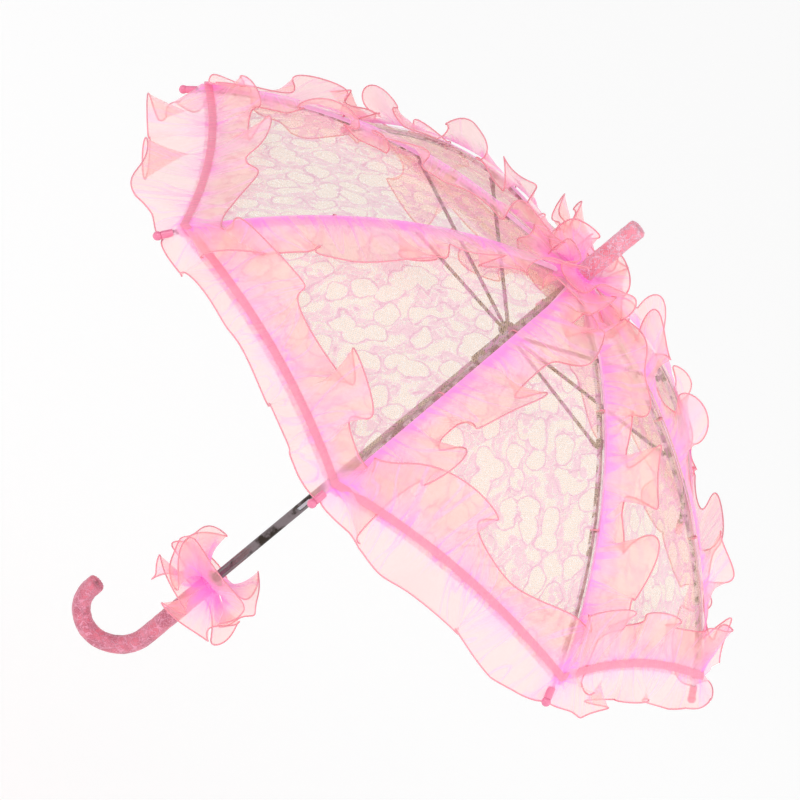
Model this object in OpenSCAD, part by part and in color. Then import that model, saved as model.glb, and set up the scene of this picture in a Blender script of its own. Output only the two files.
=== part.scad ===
// Lace parasol, open. The shaft lies along Z with its tip upwards, and the origin is on the
// shaft's axis in the middle of the hand's grip. Lengths are in millimetres.

/* [Canopy] */
// Distance from the shaft's axis to the ball on a rib's tip
tip_r = 355; // [300:1:430]
// Radius of the arc that an open rib bends to
rib_arc_r = 480; // [450:5:620]
// Slope of a rib where it leaves the notch, in degrees
rib_start = 2; // [0:0.5:5]
// How far the ribs fold down, in degrees
fold = 60; // [50:1:60]
// Rise of the hem half way between two ribs
hem_rise = 13; // [6:1:20]
// Height of the lace's inner face over the ribs' centre line
lace_lift = 3.4; // [3.4:0.1:5]
// Thickness of the lace
lace_t = 0.8; // [0.5:0.1:1.2]
// Radius of the hole in the lace round the notch
lace_hole_r = 17; // [17:0.5:22]
// Distance from the lace's hem back from the ball on a rib's tip
lace_to_ball = 16; // [15:0.5:24]

/* [Ruffles] */
// Height of the ruffles' inner face over the ribs' centre line
ruffle_lift = 7.5; // [7.5:0.5:10]
// Thickness of the gathered organza
ruffle_t = 1; // [0.6:0.1:1.4]
// Reach of a rib's ruffle to each side of the rib
rib_ruffle_w = 42; // [30:1:50]
// How far the edges of a rib's ruffle stand up
rib_ruffle_rise = 12; // [4:1:20]
// Reach of the hem's ruffle up over the lace
hem_ruffle_up = 34; // [20:1:45]
// Reach of the hem's ruffle below the lace
hem_ruffle_down = 44; // [30:1:50]
// Radius of the gathered organza round the ferrule
apex_rosette_r = 62; // [45:1:75]
// Height of the gathered organza round the ferrule
apex_rosette_h = 26; // [15:1:35]
// Radius of the bow of organza at the top of the handle
handle_rosette_r = 54; // [40:1:60]
// Height of that bow to each side of its gathers
handle_rosette_h = 30; // [15:1:35]
// Length of the gathered cuff that holds each of the two
cuff_l = 8; // [5:1:12]

/* [Shaft] */
// Outer diameter of the steel tube
shaft_d = 9; // [8.6:0.1:10]
// Wall of the steel tube
shaft_wall = 0.7; // [0.5:0.1:0.8]
// Distance from the grip's middle up to the wire that the ribs hang on
grip_to_notch = 500; // [450:5:620]
// Length of the tube that is held in the handle
shaft_in_handle = 70; // [40:1:80]
// Length of the tube that is held in the ferrule
shaft_in_ferrule = 40; // [20:1:50]

/* [Handle and ferrule] */
// Outer diameter of the covered handle
handle_d = 18; // [15:0.5:24]
// Straight length of the handle above the grip's middle
handle_up = 45; // [30:1:60]
// Straight length of the handle below the grip's middle
handle_down = 49; // [40:1:60]
// Radius of the first, wider part of the crook along its centre line
crook_wide_r = 45; // [36:0.5:60]
// Turn of that part, in degrees; the tighter part turns the rest of half a circle
crook_wide_turn = 60; // [30:1:90]
// Radius of the second, tighter part of the crook along its centre line
crook_r = 30; // [24:0.5:36]
// Length of the straight end of the crook
crook_end_l = 10; // [6:0.5:20]
// Outer diameter of the covered ferrule
ferrule_d = 18; // [15:0.5:22]
// Length of the ferrule
ferrule_l = 73; // [60:1:90]
// Length of the ferrule's foot, which is thinner to take the gathered organza
ferrule_foot_l = 15; // [14:1:20]
// Rounding of the ends of the handle and the ferrule
end_round = 3; // [1:0.5:5]

/* [Notch and runner] */
// Distance from the shaft's face out to the wire rings that the ribs and the stretchers hang on
pivot_out = 3.5; // [3.5:0.1:6]
// Diameter of those wires
wire_d = 1.2; // [1:0.1:1.4]
// Distance from the wire rings out to the rim of the slotted crowns of the notch and the runner
crown_rim = 4; // [3.5:0.5:6]
// Thickness of a crown below and above its wire
crown_deep = 4; // [4:0.5:5]
// Thickness of the plate that closes the top of the notch
notch_cap = 2.5; // [1.5:0.5:4]
// Length of the runner's sleeve below its crown
sleeve_l = 38; // [36:1:50]
// Wall of the runner's sleeve
sleeve_wall = 2; // [1.2:0.1:2.5]

/* [Ribs and stretchers] */
// Width of a rib's steel channel
rib_w = 3.6; // [3:0.1:4]
// Height of a rib's steel channel
rib_h = 3; // [2.4:0.1:3.4]
// Thickness of the steel in a channel
channel_wall = 0.6; // [0.4:0.1:0.8]
// Length along a rib from the notch to its joint with the stretcher
joint_along = 165; // [140:1:200]
// Distance of that joint's rivet below the rib's centre line
joint_drop = 4.6; // [4.6:0.1:6]
// Width of a stretcher's steel channel
stretcher_w = 2.6; // [2.4:0.1:3]
// Height of a stretcher's steel channel
stretcher_h = 2.4; // [2:0.1:2.8]
// Thickness of the flattened eyes
eye_t = 1.6; // [1.2:0.1:1.8]
// Radius of the flattened eyes
eye_r = 1.9; // [1.7:0.1:2]
// Length of the flattened neck next to an eye
neck_l = 9; // [9:0.5:12]
// Diameter of the rivets
rivet_d = 1.5; // [1.2:0.1:1.6]
// Radius of the ball on a rib's tip
ball_r = 4; // [3:0.5:5]

/* [Catches] */
// Length of a catch's spring leaf from its pin to its nose
catch_l = 25; // [22:1:30]
// Reach of a catch's nose out of the shaft
nose_out = 2.4; // [1.8:0.1:2.8]
// Height of a catch's nose
nose_h = 12; // [10:0.5:14]
// Width of a catch's leaf
catch_w = 3; // [2.4:0.1:3.2]
// Distance from the runner's wire down to its window
window_at = 16; // [14:1:20]

/* [Hidden] */
rib_count = 8;
rib_step = 360 / rib_count;
half_step = rib_step / 2;
ribs = [for (i = [1:rib_count]) i];
function numbered(name) = [for (i = ribs) str(name, "_", i)];
$fn = 48;

// Clearances
fit = 0.05; // between pieces that are fixed to each other
run = 0.1; // between a sliding piece and what it slides on
free = 0.4; // between pieces that swing past each other
gore_gap = 0.4; // between the lace on one rib and on the next
over = 1; // how far a cut runs past the face that it opens
lap = 1; // how far one part of the handle runs into the next
crook_slim = 0.1; // how much thinner a part of the crook is than the part before it
seam_gap = 0.1; // between the seam at a rib and the lace on each side
big = 1000; // larger than the whole parasol

shaft_r = shaft_d / 2;
pivot_r = shaft_r + pivot_out;
crown_r = pivot_r + crown_rim;
wire_r = wire_d / 2;
rivet_r = rivet_d / 2;
handle_r = handle_d / 2;
ferrule_r = ferrule_d / 2;
ferrule_foot_r = ferrule_r - 0.4;
notch_z = grip_to_notch;
handle_top = handle_up;

// The rib's arc lies in the XZ plane. A place on it is given by its slope in degrees.
arc_x = pivot_r - rib_arc_r * sin(rib_start);
arc_z = notch_z - rib_arc_r * cos(rib_start);
function along(mm) = mm / rib_arc_r * 180 / PI;
function slope_at(r) = asin((r - arc_x) / rib_arc_r);
function arc_point(slope, lift = 0) =
    [arc_x + (rib_arc_r + lift) * sin(slope), arc_z + (rib_arc_r + lift) * cos(slope)];
ball_slope = slope_at(tip_r);
joint_slope = rib_start + along(joint_along);
lace_end = ball_slope - along(lace_to_ball);

// Stretcher: as long as the joint is from the notch, so the runner's wire stays on one line
joint_at = arc_point(joint_slope, -joint_drop);
joint_dx = joint_at[0] - pivot_r;
joint_dz = notch_z - joint_at[1];
stretcher_l = norm([joint_dx, joint_dz]);
stretcher_slope = atan(joint_dz / joint_dx);
runner_z = notch_z - 2 * joint_dz;
runner_closed_z = notch_z - 2 * stretcher_l * sin(stretcher_slope + fold);

neck_h = rib_h - 2 * fit - 0.3;
tab_t = 1.4; // thickness of the clip's tab
ear_t = 0.8; // thickness of one ear of the stretcher's fork
fork_w = tab_t + 2 * free + 2 * ear_t;
ear_r = 1.8;
clip_wall = 0.6;
clip_l = 9;
socket_l = 9;
socket_r = norm([rib_w, rib_h]) / 2 + 1;

// Catches: a leaf inside the shaft on a pin, with a nose that stands out of a slot
leaf_t = 0.7;
catch_eye_r = 1.1;
leaf_x = shaft_r - shaft_wall - catch_eye_r - 0.5;
catch_pin_r = 0.6;
catch_turn = -90;
sleeve_bottom = runner_z - crown_deep - sleeve_l;
top_catch_shoulder = sleeve_bottom - 0.5;
bottom_catch_shoulder = runner_closed_z - window_at - nose_h - 0.5;
stop_z = runner_z + crown_deep + 3;

module at_rib(i) rotate([0, 0, rib_step * (i - 1)]) children();

// Sweeps a flat section along the rib's arc: x is the distance from the arc's centre
module on_arc(from, to)
    translate([arc_x, 0, arc_z]) rotate([90, 0, 0]) rotate([0, 0, 90 - to])
        rotate_extrude(angle = to - from, $fn = 360) children();

// Places a piece on the rib's arc with its Z axis towards the tip
module along_arc(slope)
    translate([arc_point(slope)[0], 0, arc_point(slope)[1]]) rotate([0, 90 + slope, 0]) children();

module across(r, h) rotate([90, 0, 0]) cylinder(r = r, h = h, center = true);

module rounded_post(r, h, round)
    rotate_extrude(angle = 360) {
        square([r, h - round]);
        square([r - round, h]);
        translate([r - round, h - round]) circle(r = round);
    }

// The half of a gore next to the rib in the XZ plane, as a slab between two lifts over the arc
module gore_half(from, to, lift, thick, rise) {
    steps = 16;
    slopes = [for (k = [0:steps]) from + (to - from) * k / steps];
    squeeze = cos(half_step);
    inner = [for (s = slopes) [arc_point(s, lift)[0] * squeeze, arc_point(s, lift)[1]]];
    outer = [for (k = [steps:-1:0]) [arc_point(slopes[k], lift + thick)[0] * squeeze,
                                     arc_point(slopes[k], lift + thick)[1]]];
    end = arc_point(to, lift);
    half_span = end[0] * sin(half_step);
    hem_slope = atan(tan(to) / squeeze);
    scallop_r = (half_span * half_span + rise * rise) / (2 * rise);
    rotate([0, 0, half_step]) difference() {
        intersection() {
            translate([0, -gore_gap / 2, 0]) rotate([90, 0, 0])
                linear_extrude(height = tip_r) polygon(concat(inner, outer));
            translate([0, seam_gap / cos(half_step), notch_z - big / 2]) linear_extrude(height = big)
                polygon([[0, 0], [big, 0], [big, -big * tan(half_step)]]);
        }
        translate([end[0] * squeeze, 0, end[1]]) rotate([0, hem_slope, 0])
            translate([scallop_r - rise, 0, 0])
                cylinder(r = scallop_r, h = 6 * thick + 20, center = true, $fn = 360);
    }
}

module channel_section(w, h) {
    difference() {
        translate([-h / 2, -w / 2]) square([h, w]);
        translate([-h / 2 - over, -w / 2 + channel_wall])
            square([h - channel_wall + over, w - 2 * channel_wall]);
    }
}

module canopy(i) {
    start = slope_at(lace_hole_r);
    color("#f3e3cf") at_rib(i) {
        gore_half(start, lace_end, lace_lift, lace_t, hem_rise);
        mirror([0, 1, 0]) gore_half(start, lace_end, lace_lift, lace_t, hem_rise);
    }
}

module ruffle(i) {
    hem_from = lace_end - along(hem_ruffle_up);
    hem_to = lace_end + along(hem_ruffle_down);
    start = slope_at(apex_rosette_r + 3);
    wedge = half_step - 0.3;
    color("#f7a6c4") at_rib(i) {
        gore_half(hem_from, hem_to, ruffle_lift, ruffle_t, hem_rise);
        mirror([0, 1, 0]) gore_half(hem_from, hem_to, ruffle_lift, ruffle_t, hem_rise);
        intersection() {
            on_arc(start, hem_from - along(1)) translate([rib_arc_r + ruffle_lift, 0])
                polygon([[0, 0], [rib_ruffle_rise, -rib_ruffle_w], [rib_ruffle_rise + ruffle_t, -rib_ruffle_w],
                         [ruffle_t, 0], [rib_ruffle_rise + ruffle_t, rib_ruffle_w],
                         [rib_ruffle_rise, rib_ruffle_w]]);
            translate([0, 0, notch_z - big / 2]) linear_extrude(height = big)
                polygon([[0, 0], [big, -big * tan(wedge)], [big, big * tan(wedge)]]);
        }
    }
}

module rib(i) {
    neck_end = rib_start + along(neck_l);
    rib_end = ball_slope - along(ball_r + 1.5);
    color("#c9cbd0") at_rib(i) difference() {
        union() {
            on_arc(neck_end - along(1), rib_end) translate([rib_arc_r, 0]) channel_section(rib_w, rib_h);
            on_arc(rib_start, neck_end) translate([rib_arc_r - neck_h / 2, -eye_t / 2]) square([neck_h, eye_t]);
            translate([pivot_r, 0, notch_z]) across(eye_r, eye_t);
        }
        translate([pivot_r, 0, notch_z]) across(wire_r + run, eye_t + 2 * over);
    }
}

// Clip round the rib with a tab, and the rivet through the tab
module rib_joint(i) {
    half = along(clip_l / 2);
    low = rib_h / 2 + clip_wall;
    color("#4b4a50") at_rib(i) {
        difference() {
            union() {
                on_arc(joint_slope - half, joint_slope + half)
                    translate([rib_arc_r - low, -rib_w / 2 - clip_wall])
                        square([rib_h + 2 * clip_wall, rib_w + 2 * clip_wall]);
                on_arc(joint_slope - along(ear_r), joint_slope + along(ear_r))
                    translate([rib_arc_r - joint_drop, -tab_t / 2]) square([joint_drop - rib_h / 2 - fit, tab_t]);
                translate([joint_at[0], 0, joint_at[1]]) across(ear_r, tab_t);
            }
            on_arc(joint_slope - 2 * half, joint_slope + 2 * half)
                translate([rib_arc_r - rib_h / 2 - fit, -rib_w / 2 - fit])
                    square([rib_h + 2 * fit, rib_w + 2 * fit]);
            translate([joint_at[0], 0, joint_at[1]]) across(rivet_r + fit, tab_t + 2 * over);
        }
        translate([joint_at[0], 0, joint_at[1]]) {
            across(rivet_r, fork_w + 0.6);
            for (side = [-1, 1]) translate([0, side * (fork_w / 2 + 0.5), 0]) across(rivet_r + 0.8, 0.5);
        }
    }
}

module rib_tip(i) {
    color("#f0709c") at_rib(i) along_arc(ball_slope) difference() {
        union() {
            sphere(r = ball_r);
            translate([0, 0, -ball_r - socket_l]) cylinder(r = socket_r, h = socket_l + 1);
        }
        translate([0, 0, -ball_r - socket_l - over])
            cylinder(r = socket_r - 1 + run, h = socket_l - 1 + over);
    }
}

module stretcher(i) {
    fork_at = stretcher_l - 7;
    color("#77757c") at_rib(i) translate([pivot_r, 0, runner_z]) rotate([0, -stretcher_slope, 0])
        difference() {
            union() {
                across(eye_r, eye_t);
                translate([0, -eye_t / 2, -stretcher_h / 2]) cube([neck_l, eye_t, stretcher_h]);
                translate([neck_l - 1, -stretcher_w / 2, -stretcher_h / 2])
                    cube([fork_at - neck_l + 1, stretcher_w, stretcher_h]);
                translate([fork_at - 3, -fork_w / 2, -stretcher_h / 2]) cube([10, fork_w, stretcher_h]);
                translate([stretcher_l, 0, 0]) across(ear_r, fork_w);
            }
            across(wire_r + run, eye_t + 2 * over);
            translate([neck_l + 1, -stretcher_w / 2 + channel_wall, -stretcher_h / 2 - over])
                cube([fork_at - neck_l - 6, stretcher_w - 2 * channel_wall, stretcher_h - channel_wall + over]);
            translate([fork_at + 2, -tab_t / 2 - free, -big / 2]) cube([big, tab_t + 2 * free, big]);
            translate([stretcher_l, 0, 0]) across(rivet_r + run, fork_w + 2 * over);
        }
}

// Slotted crown, open upwards, with its wire at the origin's height
module crown(below, above, bore_r) {
    slot_w = eye_t + 2 * free;
    slot_r = pivot_r - eye_r - free;
    difference() {
        translate([0, 0, -below]) cylinder(r = crown_r, h = below + above);
        translate([0, 0, -below - over]) cylinder(r = bore_r, h = below + above + 2 * over);
        for (i = ribs) at_rib(i)
            translate([slot_r, -slot_w / 2, -eye_r - free]) cube([crown_r, slot_w, big]);
        rotate_extrude(angle = 360) translate([pivot_r, 0]) {
            circle(r = wire_r + fit);
            translate([-wire_r - fit, 0]) square([wire_d + 2 * fit, above + over]);
        }
    }
}

module wire_ring(z)
    translate([0, 0, z]) rotate_extrude(angle = 360) translate([pivot_r, 0]) circle(r = wire_r);

module top_notch()
    color("#8d8a92") translate([0, 0, notch_z]) mirror([0, 0, 1])
        crown(eye_r + free + notch_cap, crown_deep, shaft_r + fit);

module notch_wire() color("#b8bac0") wire_ring(notch_z);

module runner() {
    window_w = catch_w + 2 * free;
    color("#6f6c75") translate([0, 0, runner_z]) difference() {
        union() {
            crown(crown_deep, crown_deep, shaft_r + run);
            translate([0, 0, -crown_deep - sleeve_l])
                cylinder(r = shaft_r + run + sleeve_wall, h = sleeve_l + 1);
        }
        translate([0, 0, -crown_deep - sleeve_l - over])
            cylinder(r = shaft_r + run, h = sleeve_l + crown_deep);
        rotate([0, 0, catch_turn]) translate([0, -window_w / 2, -window_at - nose_h - 1])
            cube([crown_r, window_w, nose_h + 2]);
    }
}

module runner_wire() color("#b8bac0") wire_ring(runner_z);

// Spring leaf with its pin's eye at the bottom and its shoulder at the origin's height
module catch_leaf() {
    nose_x = shaft_r + nose_out;
    rotate([0, 0, catch_turn]) difference() {
        union() {
            translate([leaf_x, -catch_w / 2, -catch_l]) cube([leaf_t, catch_w, catch_l]);
            translate([leaf_x, 0, -catch_l]) across(catch_eye_r, catch_w);
            rotate([90, 0, 0]) linear_extrude(height = catch_w, center = true)
                polygon([[leaf_x, 0], [nose_x, 0], [nose_x, -nose_h / 4], [leaf_x + leaf_t, -nose_h],
                         [leaf_x, -nose_h]]);
        }
        translate([leaf_x, 0, -catch_l]) across(catch_pin_r + fit, catch_w + 2 * over);
    }
}

module top_catch() color("#9a9ca3") translate([0, 0, top_catch_shoulder]) catch_leaf();

module bottom_catch()
    color("#9a9ca3") translate([0, 0, bottom_catch_shoulder]) mirror([0, 0, 1]) catch_leaf();

// Holes for the two catches' pins and for the stop pin above the runner
module pin_places() {
    for (z = [top_catch_shoulder - catch_l, bottom_catch_shoulder + catch_l])
        rotate([0, 0, catch_turn]) translate([leaf_x, 0, z]) children(0);
    translate([0, 0, stop_z]) children(1);
}

module shaft_pins()
    color("#b8bac0") pin_places() {
        across(catch_pin_r, shaft_d - 2);
        across(catch_pin_r + 0.2, shaft_d + 3);
    }

module catch_slot(low, high)
    rotate([0, 0, catch_turn]) translate([leaf_x, -catch_w / 2 - free, low])
        cube([shaft_d, catch_w + 2 * free, high - low]);

module shaft() {
    bottom = handle_top - shaft_in_handle;
    top = notch_z + notch_top() + shaft_in_ferrule;
    color("#5c5660") difference() {
        translate([0, 0, bottom]) cylinder(r = shaft_r, h = top - bottom);
        translate([0, 0, bottom - over]) cylinder(r = shaft_r - shaft_wall, h = top - bottom + 2 * over);
        catch_slot(top_catch_shoulder - nose_h - 2, top_catch_shoulder + 1);
        catch_slot(bottom_catch_shoulder - 1, bottom_catch_shoulder + nose_h + 2);
        pin_places() {
            across(catch_pin_r + fit, shaft_d + 2 * over);
            across(catch_pin_r + 0.2 + fit, shaft_d + 2 * over);
        }
    }
}

function notch_top() = eye_r + free + notch_cap + 0.2;

module ferrule()
    color("#e87896") translate([0, 0, notch_z + notch_top()]) difference() {
        union() {
            cylinder(r = ferrule_foot_r, h = ferrule_foot_l + 1);
            translate([0, 0, ferrule_foot_l]) rounded_post(ferrule_r, ferrule_l - ferrule_foot_l, end_round);
        }
        translate([0, 0, -over]) cylinder(r = shaft_r + fit, h = shaft_in_ferrule + over + 1);
    }

// Bend of the crook in the XZ plane that starts at the origin, heading down, and turns towards -X
module bend(r, turn, rod_r)
    translate([-r, 0, 0]) rotate([90, 0, 0]) rotate([0, 0, -turn])
        rotate_extrude(angle = turn + lap / r * 180 / PI, $fn = 360) translate([r, 0]) circle(r = rod_r);

// Places a piece where the bend of that radius and turn ends
module after_bend(r, turn)
    translate([-r, 0, 0]) rotate([0, turn, 0]) translate([r, 0, 0]) children();

module handle()
    color("#dd7089") difference() {
        union() {
            translate([0, 0, -handle_down - lap]) cylinder(r = handle_r, h = handle_down + handle_up + lap);
            translate([0, 0, -handle_down]) {
                bend(crook_wide_r, crook_wide_turn, handle_r - crook_slim);
                after_bend(crook_wide_r, crook_wide_turn) {
                    bend(crook_r, 180 - crook_wide_turn, handle_r - 2 * crook_slim);
                    after_bend(crook_r, 180 - crook_wide_turn) translate([0, 0, lap]) mirror([0, 0, 1])
                        rounded_post(handle_r, crook_end_l + lap, end_round);
                }
            }
        }
        translate([0, 0, handle_top - shaft_in_handle - 1])
            cylinder(r = shaft_r + fit, h = shaft_in_handle + 1 + over);
    }

// Gathered cuff with one flare: from the cuff's outer face out to a rim at the given height
module flare(hole_r, rim_r, rim_z)
    rotate_extrude(angle = 360)
        polygon([[hole_r, -cuff_l / 2], [hole_r + ruffle_t, -cuff_l / 2], [hole_r + ruffle_t, -ruffle_t / 2],
                 [rim_r, rim_z - ruffle_t / 2], [rim_r, rim_z + ruffle_t / 2],
                 [hole_r + ruffle_t, ruffle_t / 2], [hole_r + ruffle_t, cuff_l / 2], [hole_r, cuff_l / 2]]);

module apex_rosette() {
    hole_r = ferrule_foot_r + 0.3;
    low_z = arc_point(slope_at(apex_rosette_r), lace_lift + lace_t)[1] + 2;
    mid_z = notch_z + notch_top() + 0.3 + cuff_l / 2;
    color("#f78fb8") translate([0, 0, mid_z]) {
        flare(hole_r, apex_rosette_r, low_z - mid_z);
        flare(hole_r, 0.7 * apex_rosette_r, apex_rosette_h - cuff_l / 2);
    }
}

module handle_rosette()
    color("#f9a9c9") translate([0, 0, handle_top - cuff_l / 2])
        for (z = [-handle_rosette_h, handle_rosette_h]) flare(handle_r + 0.4, handle_rosette_r, z);

shaft();
handle();
ferrule();
top_notch();
notch_wire();
runner();
runner_wire();
top_catch();
bottom_catch();
shaft_pins();
apex_rosette();
handle_rosette();
for (i = ribs) rib(i);
for (i = ribs) rib_joint(i);
for (i = ribs) rib_tip(i);
for (i = ribs) stretcher(i);
for (i = ribs) canopy(i);
for (i = ribs) ruffle(i);
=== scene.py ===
import math
import bpy
from mathutils import Matrix, Vector, noise


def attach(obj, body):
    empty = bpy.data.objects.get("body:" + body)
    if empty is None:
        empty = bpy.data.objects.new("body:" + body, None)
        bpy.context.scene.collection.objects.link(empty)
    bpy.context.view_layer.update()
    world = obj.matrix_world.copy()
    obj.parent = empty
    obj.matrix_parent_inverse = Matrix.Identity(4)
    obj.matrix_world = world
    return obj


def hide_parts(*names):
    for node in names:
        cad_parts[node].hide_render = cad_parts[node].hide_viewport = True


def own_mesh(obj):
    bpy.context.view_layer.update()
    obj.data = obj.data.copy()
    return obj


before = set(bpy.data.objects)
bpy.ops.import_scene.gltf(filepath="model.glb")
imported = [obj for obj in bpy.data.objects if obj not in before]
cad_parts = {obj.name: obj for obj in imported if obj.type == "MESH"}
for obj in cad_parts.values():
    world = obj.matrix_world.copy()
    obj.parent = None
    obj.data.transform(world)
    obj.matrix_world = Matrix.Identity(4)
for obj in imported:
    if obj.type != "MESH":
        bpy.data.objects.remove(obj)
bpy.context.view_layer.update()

# what the whole parasol is laid out on, in metres and degrees
canopy = {"ribs": 8, "arcRadius": 0.480, "startSlope": 2.0, "ring": 0.008, "notch": 0.500,
          "tipReach": 0.355, "hemFromTip": 0.016, "hemRise": 0.013, "hole": 0.017}
ribStep = 360 / canopy["ribs"]
halfGore = ribStep / 2
arcX = canopy["ring"] - canopy["arcRadius"] * math.sin(math.radians(canopy["startSlope"]))
arcZ = canopy["notch"] - canopy["arcRadius"] * math.cos(math.radians(canopy["startSlope"]))
ribNumbers = range(1, canopy["ribs"] + 1)


def deselectAll():
    if bpy.context.object and bpy.context.object.mode != "OBJECT":
        bpy.ops.object.mode_set(mode="OBJECT")
    bpy.ops.object.select_all(action="DESELECT")


def useOnly(piece):
    deselectAll()
    piece.select_set(True)
    bpy.context.view_layer.objects.active = piece


# camera, lights and floor
view = {"place": (-0.0265, -2.8636, 1.4911), "azimuth": -0.179, "elevation": 22.551, "roll": 50.251,
        "lens": 155.38}
lamps = [{"place": (-1.6, -2.2, 2.4), "size": 1.4, "power": 14},
         {"place": (2.4, -1.0, 1.2), "size": 1.8, "power": 5}]
studio = {"world": 1.13, "curtainTowards": (-0.62, 0.30, 0.72), "curtainStart": 0.70, "curtainFull": 0.90,
          "curtainLevel": 0.15, "floor": -0.55, "floorSize": 60, "floorGlow": 0.065, "lampsAim": (0, 0, 0.3)}


def addCamera():
    azimuth, elevation, roll = (math.radians(view[k]) for k in ("azimuth", "elevation", "roll"))
    back = Vector((math.sin(azimuth) * math.cos(elevation), -math.cos(azimuth) * math.cos(elevation),
                   math.sin(elevation)))
    right = Vector((math.cos(azimuth), math.sin(azimuth), 0))
    up = back.cross(right)
    turnedRight = right * math.cos(roll) + up * math.sin(roll)
    turnedUp = up * math.cos(roll) - right * math.sin(roll)
    bpy.ops.object.camera_add()
    camera = bpy.context.object
    placed = Matrix((turnedRight, turnedUp, back)).transposed().to_4x4()
    placed.translation = Vector(view["place"])
    camera.matrix_world = placed
    camera.data.lens = view["lens"]
    camera.data.clip_end = 100
    bpy.context.scene.camera = camera


def addSoftLight(place, size, power):
    bpy.ops.object.light_add(type="AREA", location=place)
    lamp = bpy.context.object
    lamp.data.size, lamp.data.energy = size, power
    lamp.rotation_euler = (Vector(studio["lampsAim"]) - Vector(place)).to_track_quat("-Z", "Y").to_euler()


def addStudio():
    world = bpy.data.worlds.new("whiteStudio")
    world.use_nodes = True
    bpy.context.scene.world = world
    links, nodes = world.node_tree.links, world.node_tree.nodes
    nodes["Background"].inputs["Color"].default_value = (1, 1, 1, 1)
    seen = nodes.new("ShaderNodeLightPath").outputs["Is Camera Ray"]
    around = nodes.new("ShaderNodeTexCoord").outputs["Generated"]
    facing = nodes.new("ShaderNodeVectorMath")
    facing.operation, facing.inputs[1].default_value = "DOT_PRODUCT", studio["curtainTowards"]
    links.new(around, facing.inputs[0])
    curtain = nodes.new("ShaderNodeMapRange")
    curtain.inputs["From Min"].default_value = studio["curtainStart"]
    curtain.inputs["From Max"].default_value = studio["curtainFull"]
    curtain.inputs["To Min"].default_value = studio["world"]
    curtain.inputs["To Max"].default_value = studio["curtainLevel"]
    links.new(facing.outputs["Value"], curtain.inputs["Value"])
    level = nodes.new("ShaderNodeMapRange")
    level.inputs["To Max"].default_value = 1
    links.new(seen, level.inputs["Value"])
    links.new(curtain.outputs["Result"], level.inputs["To Min"])
    links.new(level.outputs["Result"], nodes["Background"].inputs["Strength"])
    for lamp in lamps:
        addSoftLight(lamp["place"], lamp["size"], lamp["power"])
    bpy.context.scene.view_settings.view_transform = "Standard"
    bpy.context.scene.cycles.transparent_max_bounces = 48
    bpy.context.scene.cycles.max_bounces = 10
    bpy.ops.mesh.primitive_plane_add(size=studio["floorSize"], location=(0, 0, studio["floor"]))
    floor = bpy.context.object
    floor.name = "floor"
    paint = newFinish("palePaper", (1, 1, 1), 1.0)
    shaderOf(paint).inputs["Emission Color"].default_value = (1, 1, 1, 1)
    shaderOf(paint).inputs["Emission Strength"].default_value = studio["floorGlow"]
    shaderOf(paint).inputs["Specular IOR Level"].default_value = 0
    floor.data.materials.append(paint)


# small helpers for finishes
def newFinish(name, colour, roughness, metallic=0.0):
    finish = bpy.data.materials.new(name)
    finish.use_nodes = True
    shader = finish.node_tree.nodes["Principled BSDF"]
    shader.inputs["Base Color"].default_value = (*colour, 1)
    shader.inputs["Roughness"].default_value = roughness
    shader.inputs["Metallic"].default_value = metallic
    finish.diffuse_color = (*colour, 1)
    return finish


def shaderOf(finish):
    return finish.node_tree.nodes["Principled BSDF"]


def addNode(finish, kind, inputs=None, **settings):
    node = finish.node_tree.nodes.new(kind)
    for name, value in settings.items():
        setattr(node, name, value)
    for name, value in (inputs or {}).items():
        if isinstance(value, bpy.types.NodeSocket):
            finish.node_tree.links.new(value, node.inputs[name])
        else:
            node.inputs[name].default_value = value
    return node


def feed(finish, socket, value):
    finish.node_tree.links.new(value, socket)


def calc(finish, operation, first, second=0.0, clamp=False):
    return addNode(finish, "ShaderNodeMath", {0: first, 1: second}, operation=operation,
                   use_clamp=clamp).outputs[0]


def ramp(finish, value, low, high, toLow=0.0, toHigh=1.0):
    return addNode(finish, "ShaderNodeMapRange", {"Value": value, "From Min": low, "From Max": high,
                   "To Min": toLow, "To Max": toHigh}, interpolation_type="SMOOTHSTEP").outputs["Result"]


def blendColour(finish, share, first, second):
    first = first if isinstance(first, bpy.types.NodeSocket) else (*first, 1)
    second = second if isinstance(second, bpy.types.NodeSocket) else (*second, 1)
    return addNode(finish, "ShaderNodeMix", {0: share, 6: first, 7: second}, data_type="RGBA").outputs[2]


def clothCoords(finish):
    return addNode(finish, "ShaderNodeUVMap", uv_map="UVMap").outputs["UV"]


def scaled(finish, coords, across, along, turn=0.0):
    return addNode(finish, "ShaderNodeMapping", {"Vector": coords, "Rotation": (0, 0, turn),
                   "Scale": (across, along, 1)}).outputs["Vector"]


def noiseValue(finish, coords, scale, detail=2.0):
    return addNode(finish, "ShaderNodeTexNoise", {"Vector": coords, "Scale": scale,
                   "Detail": detail}).outputs["Fac"]


def cellEdges(finish, coords, randomness):
    return addNode(finish, "ShaderNodeTexVoronoi", {"Vector": coords, "Scale": 1.0, "Randomness": randomness},
                   voronoi_dimensions="2D", feature="DISTANCE_TO_EDGE").outputs["Distance"]


def cellCentres(finish, coords, randomness):
    return addNode(finish, "ShaderNodeTexVoronoi", {"Vector": coords, "Scale": 1.0, "Randomness": randomness},
                   voronoi_dimensions="2D", feature="F1").outputs["Distance"]


def addBump(finish, height, distance, strength=0.6):
    bump = addNode(finish, "ShaderNodeBump", {"Height": height, "Distance": distance, "Strength": strength})
    feed(finish, shaderOf(finish).inputs["Normal"], bump.outputs["Normal"])


# lace: a diamond net with woven leaves, flowers and a heavier outline thread
lace = {"cellWide": 0.024, "cellLong": 0.034, "openWide": 0.0105, "openLong": 0.021, "leafWide": 0.0048,
        "leafLong": 0.0110, "flowerWide": 0.050, "flowerLong": 0.066, "petal": 0.0085, "net": 0.0019}


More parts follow.
